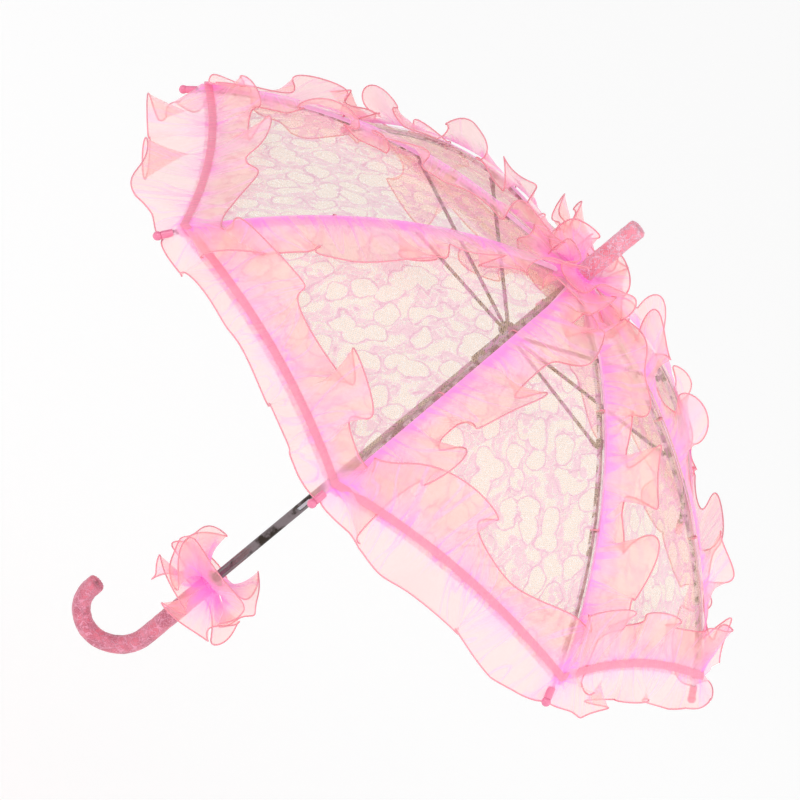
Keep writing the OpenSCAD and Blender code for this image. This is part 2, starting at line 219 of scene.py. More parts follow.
def lacePattern(finish, size):
    coords = clothCoords(finish)
    drift = addNode(finish, "ShaderNodeTexNoise", {"Vector": coords, "Scale": 34.0 / size, "Detail": 1.0})
    centred = addNode(finish, "ShaderNodeVectorMath", {0: drift.outputs["Color"], 1: (0.5, 0.5, 0.5)},
                      operation="SUBTRACT").outputs[0]
    pushed = addNode(finish, "ShaderNodeVectorMath", {0: centred, "Scale": 0.022 * size},
                     operation="SCALE").outputs[0]
    drawn = addNode(finish, "ShaderNodeVectorMath", {0: coords, 1: pushed}, operation="ADD").outputs[0]
    ragged = calc(finish, "SUBTRACT", noiseValue(finish, coords, 300 / size, 2), 0.5)
    ragged = calc(finish, "MULTIPLY", ragged, 0.05)
    field = calc(finish, "ADD", noiseValue(finish, scaled(finish, drawn, 1 / (lace["openWide"] * size),
                 1 / (lace["openLong"] * size)), 1.0, 0), ragged)
    oval = calc(finish, "ADD", cellCentres(finish, scaled(finish, drawn, 1 / (lace["cellWide"] * size),
                1 / (lace["cellLong"] * size)), 0.75), calc(finish, "MULTIPLY", ragged, 2.0))
    bands = calc(finish, "MULTIPLY", ramp(finish, field, 0.600, 0.520), ramp(finish, oval, 0.29, 0.40))
    leaves = cellEdges(finish, scaled(finish, drawn, 1 / (lace["leafWide"] * size),
                                      1 / (lace["leafLong"] * size)), 1.0)
    leafy = ramp(finish, leaves, 0.02, 0.16, 0.25, 1.0)
    flowers = ramp(finish, cellCentres(finish, scaled(finish, drawn, 1 / (lace["flowerWide"] * size),
                   1 / (lace["flowerLong"] * size)), 0.8), 0.20, 0.16)
    petals = ramp(finish, cellCentres(finish, scaled(finish, drawn, 1 / (lace["petal"] * size),
                  1 / (lace["petal"] * size)), 0.75), 0.50, 0.36)
    figure = calc(finish, "MAXIMUM", calc(finish, "MULTIPLY", bands, leafy),
                  calc(finish, "MULTIPLY", flowers, petals))
    rim = calc(finish, "MINIMUM", calc(finish, "ABSOLUTE", calc(finish, "SUBTRACT", field, 0.435)),
               calc(finish, "MULTIPLY", calc(finish, "ABSOLUTE", calc(finish, "SUBTRACT", oval, 0.385)), 0.5))
    outline = calc(finish, "MULTIPLY", ramp(finish, rim, 0.018, 0.006), ramp(finish, oval, 0.30, 0.36))
    mesh = cellEdges(finish, scaled(finish, coords, 1 / lace["net"], 1 / lace["net"], math.radians(45)), 0.15)
    threads = ramp(finish, mesh, 0.26, 0.12)
    return figure, outline, threads


def makeLace():
    finish = newFinish("creamLace", (1.0, 0.84, 0.76), 0.85)
    figure, outline, threads = lacePattern(finish, 1.0)
    patches = noiseValue(finish, clothCoords(finish), 55, 2)
    woven = blendColour(finish, patches, (0.89, 0.42, 0.46), (0.91, 0.48, 0.60))
    colour = blendColour(finish, figure, (0.90, 0.63, 0.47), woven)
    colour = blendColour(finish, calc(finish, "MULTIPLY", outline, 0.8), colour, (0.80, 0.34, 0.50))
    feed(finish, shaderOf(finish).inputs["Base Color"], colour)
    netCover = calc(finish, "ADD", calc(finish, "MULTIPLY", threads, 0.28), 0.34)
    pores = ramp(finish, noiseValue(finish, clothCoords(finish), 380, 1), 0.54, 0.64, 1.0, 0.66)
    netCover = calc(finish, "MULTIPLY", netCover, pores)
    solid = calc(finish, "MAXIMUM", calc(finish, "MULTIPLY", figure, 0.60),
                 calc(finish, "MULTIPLY", outline, 0.74))
    feed(finish, shaderOf(finish).inputs["Alpha"], calc(finish, "MAXIMUM", netCover, solid))
    addBump(finish, calc(finish, "ADD", figure, calc(finish, "MULTIPLY", threads, 0.5)), 0.0004)
    shaderOf(finish).inputs["Sheen Weight"].default_value = 0.2
    return finish


# organza: a sheer weave that turns dense and hot pink where it is gathered, with painted sheen patches in
# magenta and a painted glow of its own colour
organza = {"pale": (0.97, 0.47, 0.44), "middle": (0.98, 0.43, 0.63), "gathered": (1.0, 0.28, 0.74),
           "paintedSheen": (1.0, 0.38, 0.80), "thin": 0.42, "dense": 0.84}


def makeOrganza():
    finish = newFinish("pinkOrganza", organza["middle"], 0.42)
    coords = clothCoords(finish)
    gather = addNode(finish, "ShaderNodeAttribute", attribute_name="gather").outputs["Fac"]
    creases = noiseValue(finish, scaled(finish, coords, 150, 16), 1.0, 3)
    folds = noiseValue(finish, scaled(finish, coords, 34, 9), 1.0, 1)
    sheenClouds = noiseValue(finish, coords, 28, 2)
    uneven = calc(finish, "ADD", calc(finish, "MULTIPLY", calc(finish, "SUBTRACT", creases, 0.5), 0.6),
                  calc(finish, "MULTIPLY", calc(finish, "SUBTRACT", folds, 0.5), 1.0))
    pressed = calc(finish, "ABSOLUTE", calc(finish, "SUBTRACT", folds, 0.5))
    pressed = calc(finish, "MULTIPLY", ramp(finish, pressed, 0.030, 0.004), 0.30)
    density = calc(finish, "ADD", calc(finish, "ADD", gather, uneven), pressed, clamp=True)
    colour = blendColour(finish, ramp(finish, density, 0.0, 0.42), organza["pale"], organza["middle"])
    colour = blendColour(finish, ramp(finish, density, 0.4, 1.0), colour, organza["gathered"])
    # painted highlight: magenta patches where cloud noise meets dense cloth stand in for the sheen on the
    # gathered organza
    paintedSheenPatches = calc(finish, "MULTIPLY", ramp(finish, sheenClouds, 0.56, 0.72), ramp(finish, density, 0.45, 0.9))
    colour = blendColour(finish, calc(finish, "MULTIPLY", paintedSheenPatches, 0.4), colour, organza["paintedSheen"])
    feed(finish, shaderOf(finish).inputs["Base Color"], colour)
    feed(finish, shaderOf(finish).inputs["Alpha"], ramp(finish, density, -0.05, 1.0, organza["thin"],
                                                        organza["dense"]))
    weave = addNode(finish, "ShaderNodeTexWave", {"Vector": scaled(finish, coords, 1, 0.0), "Scale": 420.0,
                    "Distortion": 0.3}).outputs["Fac"]
    addBump(finish, calc(finish, "ADD", creases, calc(finish, "MULTIPLY", weave, 0.05)), 0.0012, 0.5)
    # painted light: the organza glows with its own colour at strength 0.15, standing in for light passing
    # through the cloth and lifting its shade
    feed(finish, shaderOf(finish).inputs["Emission Color"], colour)
    shaderOf(finish).inputs["Emission Strength"].default_value = 0.15
    shaderOf(finish).inputs["Sheen Weight"].default_value = 0.2
    shaderOf(finish).inputs["Sheen Tint"].default_value = (1, 0.75, 0.85, 1)
    return finish


# the thin roll sewn along the free edges of the frills
rolledEdge = {"radius": 0.00066}


def makeRolledEdge():
    finish = newFinish("rolledEdge", (0.97, 0.34, 0.42), 0.5)
    coords = addNode(finish, "ShaderNodeTexCoord").outputs["Object"]
    stitches = noiseValue(finish, coords, 900, 1)
    feed(finish, shaderOf(finish).inputs["Base Color"], blendColour(finish, stitches, (0.98, 0.42, 0.50),
                                                                   (0.95, 0.31, 0.40)))
    feed(finish, shaderOf(finish).inputs["Alpha"], ramp(finish, stitches, 0.25, 0.6, 0.75, 0.95))
    addBump(finish, stitches, 0.0003)
    return finish


def makeHemBinding():
    finish = newFinish("hemBinding", (0.97, 0.30, 0.42), 0.5)
    coords = clothCoords(finish)
    gathers = noiseValue(finish, scaled(finish, coords, 60, 420), 1.0, 2)
    feed(finish, shaderOf(finish).inputs["Base Color"], blendColour(finish, gathers, (0.93, 0.25, 0.40),
                                                                   (0.99, 0.36, 0.48)))
    feed(finish, shaderOf(finish).inputs["Alpha"], ramp(finish, gathers, 0.2, 0.7, 0.95, 0.74))
    addBump(finish, gathers, 0.0006, 0.6)
    return finish


def makeSatinTape():
    finish = newFinish("satinTape", (0.98, 0.66, 0.86), 0.28)
    coords = clothCoords(finish)
    ribbed = addNode(finish, "ShaderNodeTexWave", {"Vector": scaled(finish, coords, 0, 1), "Scale": 260.0,
                     "Distortion": 0.6}).outputs["Fac"]
    feed(finish, shaderOf(finish).inputs["Base Color"], blendColour(finish, noiseValue(finish, coords, 60),
         (0.96, 0.62, 0.82), (0.98, 0.82, 0.97)))
    addBump(finish, ribbed, 0.0003, 0.4)
    shaderOf(finish).inputs["Sheen Weight"].default_value = 0.3
    return finish


# lace drawn over satin, for the handle and the ferrule
def makeCoveredSatin(name, dark, bright, thread):
    finish = newFinish(name, bright, 0.55)
    figure, outline, threads = lacePattern(finish, 0.55)
    coords = clothCoords(finish)
    wander = calc(finish, "ABSOLUTE", calc(finish, "SUBTRACT", noiseValue(finish, coords, 130, 2), 0.5))
    scribble = ramp(finish, wander, 0.030, 0.012)
    raised = calc(finish, "MAXIMUM", scribble, outline)
    satin = blendColour(finish, ramp(finish, noiseValue(finish, coords, 62, 3), 0.36, 0.64), dark, bright)
    covered = blendColour(finish, calc(finish, "MULTIPLY", threads, 0.22), satin, thread)
    covered = blendColour(finish, calc(finish, "MULTIPLY", figure, 0.30), covered, thread)
    covered = blendColour(finish, calc(finish, "MULTIPLY", raised, 0.80), covered, thread)
    feed(finish, shaderOf(finish).inputs["Base Color"], covered)
    relief = calc(finish, "ADD", calc(finish, "MULTIPLY", figure, 0.5),
                  calc(finish, "MULTIPLY", threads, 0.25))
    relief = calc(finish, "ADD", calc(finish, "MULTIPLY", raised, 1.2), relief)
    addBump(finish, relief, 0.0007, 0.8)
    feed(finish, shaderOf(finish).inputs["Roughness"], ramp(finish, raised, 0.0, 1.0, 0.42, 0.75))
    shaderOf(finish).inputs["Sheen Weight"].default_value = 0.2
    return finish


def makeMetal(name, plainSteel, paintedReflection, roughness, share, grain):
    finish = newFinish(name, plainSteel, roughness, 1.0)
    coords = addNode(finish, "ShaderNodeTexCoord").outputs["Object"]
    metalPatchNoise = noiseValue(finish, coords, grain, 4)
    # painted reflection: in noise patches the steel takes its second, dark colour, standing in for dark
    # surroundings mirrored in the metal
    reflectionSpots = ramp(finish, metalPatchNoise, share + 0.06, share - 0.06)
    feed(finish, shaderOf(finish).inputs["Base Color"], blendColour(finish, reflectionSpots, plainSteel, paintedReflection))
    uneven = ramp(finish, metalPatchNoise, 0.3, 0.7, roughness + 0.15, roughness)
    feed(finish, shaderOf(finish).inputs["Roughness"], uneven)
    addBump(finish, noiseValue(finish, coords, grain * 4, 2), 0.0001, 0.3)
    return finish


def makePlastic(name, colour, roughness):
    finish = newFinish(name, colour, roughness)
    coords = addNode(finish, "ShaderNodeTexCoord").outputs["Object"]
    mottled = noiseValue(finish, coords, 300, 2)
    darker = tuple(c * 0.75 for c in colour)
    feed(finish, shaderOf(finish).inputs["Base Color"], blendColour(finish, mottled, darker, colour))
    shaderOf(finish).inputs["Coat Weight"].default_value = 0.5
    shaderOf(finish).inputs["Coat Roughness"].default_value = 0.1
    return finish


# a cloth laid out as a grid: place gives a point from its share across and along, cut its flat coordinates
def layCloth(name, columns, rows, place, cut, gather=None, finish=None):
    deselectAll()
    bpy.ops.mesh.primitive_grid_add(x_subdivisions=columns, y_subdivisions=rows, size=1)
    cloth = bpy.context.object
    cloth.name = cloth.data.name = name
    mesh = cloth.data
    shares = [(min(1, max(0, v.co.x + 0.5)), min(1, max(0, v.co.y + 0.5))) for v in mesh.vertices]
    for vertex, (u, v) in zip(mesh.vertices, shares):
        vertex.co = place(u, v)
    layer = mesh.uv_layers.active.data
    for loop in mesh.loops:
        layer[loop.index].uv = cut(*shares[loop.vertex_index])
    if gather:
        density = mesh.attributes.new("gather", "FLOAT", "POINT")
        for index, (u, v) in enumerate(shares):
            density.data[index].value = gather(u, v)
    mesh.polygons.foreach_set("use_smooth", [True] * len(mesh.polygons))
    if finish:
        mesh.materials.append(finish)
    mesh.update()
    return cloth


def runCord(name, lines, radius, finish, closed=False, sides=2):
    curve = bpy.data.curves.new(name, "CURVE")
    curve.dimensions, curve.bevel_depth, curve.bevel_resolution = "3D", radius, sides
    curve.use_fill_caps = not closed
    for points in lines:
        spline = curve.splines.new("POLY")
        spline.points.add(len(points) - 1)
        for target, point in zip(spline.points, points):
            target.co = (*point, 1)
        spline.use_cyclic_u = closed
    cord = bpy.data.objects.new(name, curve)
    bpy.context.scene.collection.objects.link(cord)
    useOnly(cord)
    bpy.ops.object.convert(target="MESH")
    cord = bpy.context.object
    cord.name = cord.data.name = name
    cord.data.materials.clear()
    cord.data.materials.append(finish)
    bpy.ops.object.shade_smooth()
    return cord


# places on the open canopy, in the first rib's own frame and turned to a rib
def slopeAt(reach):
    return math.asin((reach - arcX) / canopy["arcRadius"])


def alongArc(length):
    return length / canopy["arcRadius"]


tipSlope = slopeAt(canopy["tipReach"])
holeSlope = slopeAt(canopy["hole"])


def shareAcross(turn):
    inner = math.radians(halfGore - abs(turn))
    return 1 - math.tan(max(0.0, inner)) / math.tan(math.radians(halfGore))


def hemSlope(turn):
    share = shareAcross(turn)
    return tipSlope - alongArc(canopy["hemFromTip"] + canopy["hemRise"] * (1 - (1 - share) ** 2))


def gorePoint(turn, slope, lift, sag=0.003):
    reach = arcX + (canopy["arcRadius"] + lift) * math.sin(slope)
    height = arcZ + (canopy["arcRadius"] + lift) * math.cos(slope)
    inner = math.radians(halfGore - abs(turn))
    radius = reach * math.cos(math.radians(halfGore)) / math.cos(inner)
    hang = sag * (1 - (1 - shareAcross(turn)) ** 2) * math.sin(math.pi * min(1, slope / tipSlope))
    angle = math.radians(turn)
    return Vector((radius * math.cos(angle), radius * math.sin(angle), height - hang))


def turned(point, rib):
    return Matrix.Rotation(math.radians(ribStep * (rib - 1)), 3, "Z") @ Vector(point)


def wrapTurn(angle):
    return (angle + halfGore) % ribStep - halfGore


def canopyPoint(angle, slope, lift):
    rib = math.floor((angle + halfGore) / ribStep) + 1
    return turned(gorePoint(wrapTurn(angle), slope, lift), rib)


def foldWith(piece, rib, nodes=()):
    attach(piece, f"rib_{rib}")
    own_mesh(piece)
    if nodes:
        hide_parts(*nodes)
    return piece


# the eight lace panels, each with half a gore on both sides of its rib
panel = {"columns": 64, "rows": 64, "lift": 0.0037, "flat": (0.27, 0.36), "area": 0.0485}


def makeLacePanel(rib, finish, tapes):
    def slopeOf(turn, v):
        return holeSlope + (hemSlope(turn) - holeSlope) * v

    def place(u, v):
        turn = (2 * u - 1) * halfGore
        return turned(gorePoint(turn, slopeOf(turn, v), panel["lift"]), rib)

    def cut(u, v):
        turn = (2 * u - 1) * halfGore
        slope = slopeOf(turn, v)
        reach = arcX + canopy["arcRadius"] * math.sin(slope)
        fromMiddle = reach * math.sin(math.radians(halfGore)) * (1 - shareAcross(turn))
        gore = rib if turn >= 0 else (rib - 2) % canopy["ribs"] + 1
        side = -fromMiddle if turn >= 0 else fromMiddle
        return (side + 0.61 * gore, slope * canopy["arcRadius"] + 0.37 * gore)

    cloth = layCloth(f"lace_{rib}", panel["columns"], panel["rows"], place, cut, finish=finish)
    return foldWith(cloth, rib, nodes=[f"canopy_{rib}"])


# a narrow satin tape over the seam on each rib, and a binding along the hem
tape = {"width": 0.0075, "beside": 0.0050, "lift": 0.0045, "long": 0.35}
binding = {"width": 0.0072, "inset": 0.0105, "lift": 0.0016, "long": 0.26}


def makeTapes(rib, tapeFinish, bindingFinish):
    def seamPoint(slope):
        return gorePoint(0, slope, 0)

    def alongRib(u, v):
        slope = holeSlope + (tipSlope - alongArc(canopy["hemFromTip"]) - holeSlope) * v
        across = tape["beside"] * min(1, seamPoint(slope).x / 0.08) + (u - 0.5) * tape["width"]
        turn = math.degrees(math.atan2(across, seamPoint(slope).x))
        return turned(gorePoint(turn, slope, tape["lift"] + 0.0005 * math.sin(math.pi * u)), rib)

    def alongHem(u, v):
        turn = (2 * v - 1) * halfGore
        slope = hemSlope(turn) - alongArc(binding["inset"] - binding["width"] * u)
        lift = hemFrill["lift"] + binding["lift"] + 0.0006 * math.sin(math.pi * u)
        return turned(gorePoint(turn, slope, lift), rib)

    seam = layCloth(f"seam_tape_{rib}", 4, 90, alongRib,
                    lambda u, v: (u * tape["width"], v * tape["long"]), finish=tapeFinish)
    hem = layCloth(f"hem_binding_{rib}", 4, 90, alongHem,
                   lambda u, v: (u * binding["width"], v * binding["long"]), finish=bindingFinish)
    return [foldWith(seam, rib), foldWith(hem, rib)]


# the frill along each rib: gathered on the seam, loose over the gore between its rib and the next
ribFrill = {"columns": 200, "rows": 16, "start": 0.034, "width": 0.052, "rise": 0.027, "curl": 0.0150,
            "wave": 0.100, "lift": 0.0058, "gathering": 1.9, "seam": 0.325}


def ribFrillPhase(rib, length):
    return 2 * math.pi * length / ribFrill["wave"] + 1.7 * rib + 1.1 * math.sin(length * 29 + rib * 2.3) \
        + 0.5 * math.sin(length * 61 + rib)


def ribFrillPoint(rib, v, d):
    startSlope = slopeAt(ribFrill["start"])
    endSlope = tipSlope - alongArc(canopy["hemFromTip"] + 0.004)
    slope = startSlope + (endSlope - startSlope) * v
    length = slope * canopy["arcRadius"]
    phase = ribFrillPhase(rib, length)
    base = gorePoint(0, slope, ribFrill["lift"])
    along = Vector((math.cos(slope), 0, -math.sin(slope)))
    out = Vector((-math.sin(math.radians(halfGore)), math.cos(math.radians(halfGore)), 0))
    up = along.cross(out).normalized()
    wild = noise.noise(Vector((length * 13, rib * 3.7, 0.5)))
    narrow = min(1.0, 0.38 + base.x * 5.2)
    width = ribFrill["width"] * narrow * (1 + 0.55 * wild)
    wave = 0.5 + 0.5 * math.sin(phase)
    outward = 0.0012 * (1 - d) + width * d * (1 - 0.30 * d * (1 - wave))
    sideways = -ribFrill["curl"] * narrow * (1 + 0.7 * wild) * math.sin(2 * phase) * d ** 1.25
    sideways += 0.012 * wild * d
    height = 0.003 * math.sin(math.pi * min(1, d * 1.6)) \
        + ribFrill["rise"] * wave * d ** 1.1 * (0.75 + 0.25 * d)
    height += 0.0012 * math.sin(7 * phase + 3 * wild) * math.sin(math.pi * d) ** 2 * (1 - d)
    height += 0.005 * math.sin(2.7 * phase + rib) * d * d
    return turned(base + out * outward + along * sideways + up * max(height, 0.0008 * (1 - d)), rib)


def makeRibFrill(rib, finish):
    def gathered(u, v):
        phase = ribFrillPhase(rib, 0.33 * v + 0.05)
        return min(1, 0.06 + 0.76 * (1 - u) ** 2.6 + 0.16 * max(0, -math.sin(phase)) * (1 - u))

    def cut(u, v):
        return (v * ribFrill["seam"] * ribFrill["gathering"], u * ribFrill["width"])

    cloth = layCloth(f"rib_frill_{rib}", ribFrill["rows"], ribFrill["columns"],
                     lambda u, v: ribFrillPoint(rib, v, u), cut, gathered, finish)
    return cloth, [[ribFrillPoint(rib, k / 300, 1.0) for k in range(301)]]


# the frill along the hem: a gathered band with a loose flare over the lace and one below it
hemFrill = {"columns": 170, "rows": 36, "band": 0.010, "inset": 0.007, "below": 0.044, "above": 0.040,
            "swing": 0.018, "rise": 0.022, "curl": 0.0150, "waves": 14, "lift": 0.0062, "width": 0.090,
            "fullness": (1.0, 1.0, 1.0, 1.0, 1.15, 0.36, 0.85, 0.6)}


def hemFrillPhase(angle):
    turn = math.radians(angle)
    return hemFrill["waves"] * turn + 1.1 * math.sin(3 * turn + 1) + 0.9 * math.sin(5 * turn + 2.4) \
        + 0.6 * math.sin(11 * turn)


def flareFullness(angle):
    place = (angle - halfGore) / ribStep
    first = math.floor(place)
    share = place - first
    share = share * share * (3 - 2 * share)
    full = hemFrill["fullness"]
    return full[first % 8] * (1 - share) + full[(first + 1) % 8] * share


def hemFrame(angle):
    def onHem(a, more):
        return canopyPoint(a, hemSlope(wrapTurn(a)) - alongArc(hemFrill["inset"]) + more, hemFrill["lift"])

    base = onHem(angle, 0)
    along = (onHem(angle + 3.5, 0) - onHem(angle - 3.5, 0)).normalized()
    out = (onHem(angle, alongArc(0.01)) - base).normalized()
    out = (out - along * out.dot(along)).normalized()
    up = out.cross(along).normalized()
    return base, along, out, up


def hemFrillPoint(angle, e):
    base, along, out, up = hemFrame(angle)
    phase = hemFrillPhase(angle)
    turn = math.radians(angle)
    share = shareAcross(wrapTurn(angle))
    wild = noise.noise(Vector((6 * math.cos(turn), 6 * math.sin(turn), 2.2)))
    half = hemFrill["band"] / 2
    flat = half / (half + hemFrill["below"])
    if abs(e) <= flat:
        d, outward = 0.0, half * e / flat
        height = 0.0011 * math.sin(5 * phase) * (1 - abs(e / flat))
        sideways = 0.0
    else:
        d = (abs(e) - flat) / (1 - flat)
        if e > 0:
            corner = 0.42 + 0.58 * min(1, share / 0.30) ** 0.6
            full = flareFullness(angle)
            outward = half + hemFrill["below"] * corner * full * d * (1 + 0.25 * wild)
            height = (hemFrill["swing"] * math.sin(phase) + 0.005 * math.sin(2.5 * phase + 1)) \
                * d ** 1.2 * full
            sideways = -hemFrill["curl"] * math.sin(2 * phase) * d ** 1.4 * corner * min(1, full + 0.1)
        else:
            phase = phase + 0.8 + 0.8 * math.sin(4 * turn)
            outward = -half - hemFrill["above"] * d * (1 + 0.7 * wild) * (0.84 + 0.20 * math.sin(phase))
            height = 0.001 + hemFrill["rise"] * (0.5 + 0.5 * math.sin(phase)) * d ** 1.1
            sideways = -hemFrill["curl"] * (1.1 + wild) * math.sin(2 * phase) * d ** 1.4
        height += 0.0011 * math.sin(6 * phase) * math.sin(math.pi * d) ** 2 * (1 - d)
    return base + out * outward + along * sideways + up * height


def makeHemFrill(rib, finish):
    middle = ribStep * (rib - 1)
    half = hemFrill["band"] / 2
    flat = half / (half + hemFrill["below"])

    def gathered(u, v):
        e, angle = 2 * u - 1, middle + (2 * v - 1) * halfGore
        share = shareAcross(wrapTurn(angle))
        seam = 0.42 * max(0, 1 - share / 0.16)
        if abs(e) <= flat:
            return 0.45 + 0.5 * seam
        d = (abs(e) - flat) / (1 - flat)
        return min(1, (0.02 if e > 0 else 0.10) + 0.42 * (1 - d) ** 3 + seam * (1 - 0.5 * d))

    def place(u, v):
        return hemFrillPoint(middle + (2 * v - 1) * halfGore, 2 * u - 1)

    def cut(u, v):
        return ((rib + v) * 0.26 * 1.7, u * 0.105)

    cloth = layCloth(f"hem_frill_{rib}", hemFrill["rows"], hemFrill["columns"], place, cut,
                     gathered, finish)
    angles = [middle + (k / 130 - 1) * halfGore for k in range(261)]
    return cloth, [[hemFrillPoint(a, e) for a in angles] for e in (-1.0, 1.0)]


def makeFrills(rib, sheer, edging):
    along, alongEdge = makeRibFrill(rib, sheer)
    around, aroundEdges = makeHemFrill(rib, sheer)
    rolled = runCord(f"rolled_edges_{rib}", alongEdge + aroundEdges, rolledEdge["radius"], edging)
    foldWith(along, rib, nodes=[f"ruffle_{rib}"])
    foldWith(around, rib)
    foldWith(rolled, rib)


# gathered rosettes round the ferrule's foot and the top of the handle
apexRosette = [
    {"base": 0.0090, "height": 0.5085, "length": 0.064, "tilt": -7, "swing": 12, "waves": 4,
     "curl": 0.22, "seed": 1.0},
    {"base": 0.0088, "height": 0.5110, "length": 0.046, "tilt": 18, "swing": 17, "waves": 4,
     "curl": 0.22, "seed": 4.2}]
handleRosette = [
    {"base": 0.0094, "height": 0.0385, "length": 0.050, "tilt": -30, "swing": 20, "waves": 3,
     "curl": 0.44, "seed": 2.0},
    {"base": 0.0094, "height": 0.0420, "length": 0.050, "tilt": 8, "swing": 30, "waves": 3,
     "curl": 0.44, "seed": 5.9}]
apexCuff = {"radius": 0.0092, "swell": 0.0012, "low": 0.5052, "tall": 0.0085}
handleCuff = {"radius": 0.0096, "swell": 0.0014, "low": 0.0365, "tall": 0.0085}


def rosettePoint(ring, u, d):
    angle = 2 * math.pi * u
    phase = ring["waves"] * angle + ring["seed"] + 0.5 * math.sin(2 * angle + ring["seed"]) \
        + 0.4 * math.sin(3 * angle)
    wild = noise.noise(Vector((1.6 * math.cos(angle), 1.6 * math.sin(angle), ring["seed"])))
    length = ring["length"] * (1 + 0.28 * wild) * (0.95 + 0.05 * math.cos(2 * phase))
    turn = angle - ring["curl"] * math.sin(2 * phase) * d ** 1.1 * (1 + 0.5 * wild)
    tilt = math.radians(ring["tilt"] + ring["swing"] * math.sin(phase) * min(1, 0.25 + d))
    pleat = 0.0009 * math.sin(5 * phase) * math.sin(math.pi * d) ** 2 * (1 - d)
    radius = ring["base"] + length * (d * math.cos(tilt) - 0.10 * d * d)
    height = ring["height"] + length * d * math.sin(tilt) + pleat
    return Vector((radius * math.cos(turn), radius * math.sin(turn), height))


# closes a cloth that was laid once round the shaft, where its first and last columns meet
def joinRound(cloth):
    useOnly(cloth)
    bpy.ops.object.mode_set(mode="EDIT")
    bpy.ops.mesh.select_all(action="SELECT")
    bpy.ops.mesh.remove_doubles(threshold=0.00001)
    bpy.ops.object.mode_set(mode="OBJECT")


def makeRosette(name, rings, cuff, body, node, sheer, edging):
    cloths, lines = [], []
    for number, ring in enumerate(rings, 1):
        def gathered(u, v, ring=ring):
            phase = ring["waves"] * 2 * math.pi * u + ring["seed"]
            return min(1, 0.01 + 1.1 * (1 - v) ** 1.25 + 0.15 * (1 - v) * max(0, math.sin(2 * phase)))

        cloth = layCloth(f"{name}_{number}", 300, 18, lambda u, v, ring=ring: rosettePoint(ring, u, v),
                         lambda u, v, ring=ring: (u * 0.42, v * ring["length"]), gathered, sheer)
        joinRound(cloth)
        cloths.append(cloth)
        lines.append([rosettePoint(ring, k / 360, 1.0) for k in range(360)])
    rolled = runCord(f"{name}_edges", lines, rolledEdge["radius"], edging, closed=True)
    band = makeCuff(f"{name}_cuff", cuff, sheer)
    for piece in cloths + [rolled, band]:
        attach(piece, body)
    for cloth, ring in zip(cloths, rings):
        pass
    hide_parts(node)


def makeCuff(name, cuff, finish):
    def place(u, v):
        angle = 2 * math.pi * u
        folds = 0.0005 * math.sin(26 * angle) + 0.0003 * math.sin(41 * angle + 1)
        radius = cuff["radius"] + cuff["swell"] * math.sin(math.pi * v) + folds * (0.4 + abs(2 * v - 1))
        return Vector((radius * math.cos(angle), radius * math.sin(angle), cuff["low"] + cuff["tall"] * v))

    band = layCloth(name, 260, 14, place, lambda u, v: (u * 0.2, v * 0.012), lambda u, v: 0.9, finish)
    joinRound(band)
    return band


# handle and ferrule: sleeves of lace over satin, gathered shut at their free ends
handle = {"radius": 0.009, "top": 0.045, "down": 0.049, "wideRadius": 0.045, "wideTurn": 60,
          "tightRadius": 0.030, "endLength": 0.010, "round": 0.003, "inset": 0.0002, "body": 0.94,
          "closing": 0.06, "around": 72, "along": 420}


def handlePath(length):
    straight = handle["top"] + handle["down"]
    wide = handle["wideRadius"] * math.radians(handle["wideTurn"])
    tightTurn = math.radians(180 - handle["wideTurn"])
    tight = handle["tightRadius"] * tightTurn
    if length <= straight:
        return Vector((0, 0, handle["top"] - length)), 0.0
    if length <= straight + wide:
        turn = (length - straight) / handle["wideRadius"]
        centre, radius = Vector((-handle["wideRadius"], 0, -handle["down"])), handle["wideRadius"]
    else:
        wideTurn = math.radians(handle["wideTurn"])
        turn = wideTurn + min(length - straight - wide, tight) / handle["tightRadius"]
        apart = handle["wideRadius"] - handle["tightRadius"]
        centre = Vector((-handle["wideRadius"] + apart * math.cos(wideTurn), 0,
                         -handle["down"] - apart * math.sin(wideTurn)))
        radius = handle["tightRadius"]
    point = centre + Vector((radius * math.cos(turn), 0, -radius * math.sin(turn)))
    beyond = max(0.0, length - straight - wide - tight)
    return point + Vector((-math.sin(turn), 0, -math.cos(turn))) * beyond, turn


def handleLength():
    return handle["top"] + handle["down"] + handle["wideRadius"] * math.radians(handle["wideTurn"]) \
        + handle["tightRadius"] * math.radians(180 - handle["wideTurn"]) + handle["endLength"]


def lumpy(angle, length):
    return 0.00035 * noise.noise(Vector((2.4 * math.cos(angle), 2.4 * math.sin(angle), length * 130))) \
        + 0.0002 * noise.noise(Vector((6 * math.cos(angle), 6 * math.sin(angle), length * 420)))


def makeHandle(finish):
    total = handleLength()

    def place(u, v):
        angle = 2 * math.pi * u
        body = min(1.0, v / handle["body"])
        closing = max(0.0, (v - handle["body"]) / handle["closing"])
        length = handle["inset"] + (total - handle["inset"] - handle["round"] * 0.8) * body
        radius = handle["radius"] - handle["inset"] + lumpy(angle, length)
        if closing > 0:
            bend = min(1, closing / 0.45) * math.pi / 2
            pleats = 0.0004 * math.sin(16 * angle) * math.sin(math.pi * min(1, closing))
            inward = handle["round"] * (1 - math.cos(bend))
            if closing > 0.45:
                inward = handle["round"] + (radius - handle["round"] - 0.0004) * (closing - 0.45) / 0.55
            radius = radius - inward
            length += handle["round"] * 0.8 * math.sin(bend) - 0.0006 * max(0, closing - 0.45) + pleats
        point, turn = handlePath(min(length, total))
        side = Vector((math.cos(turn), 0, -math.sin(turn)))
        return point + side * radius * math.cos(angle) + Vector((0, radius * math.sin(angle), 0))

    sleeve = layCloth("handle_cover", handle["around"], handle["along"], place,
                      lambda u, v: (u * 2 * math.pi * handle["radius"], v * total), finish=finish)
    closeSleeve(sleeve)
    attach(sleeve, "frame")
    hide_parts("handle")


ferrule = {"foot": 0.5050, "top": 0.5780, "radius": 0.009, "footRadius": 0.0086, "footLength": 0.015,
           "round": 0.003, "inset": 0.0002, "body": 0.88, "closing": 0.12, "around": 72, "along": 200}


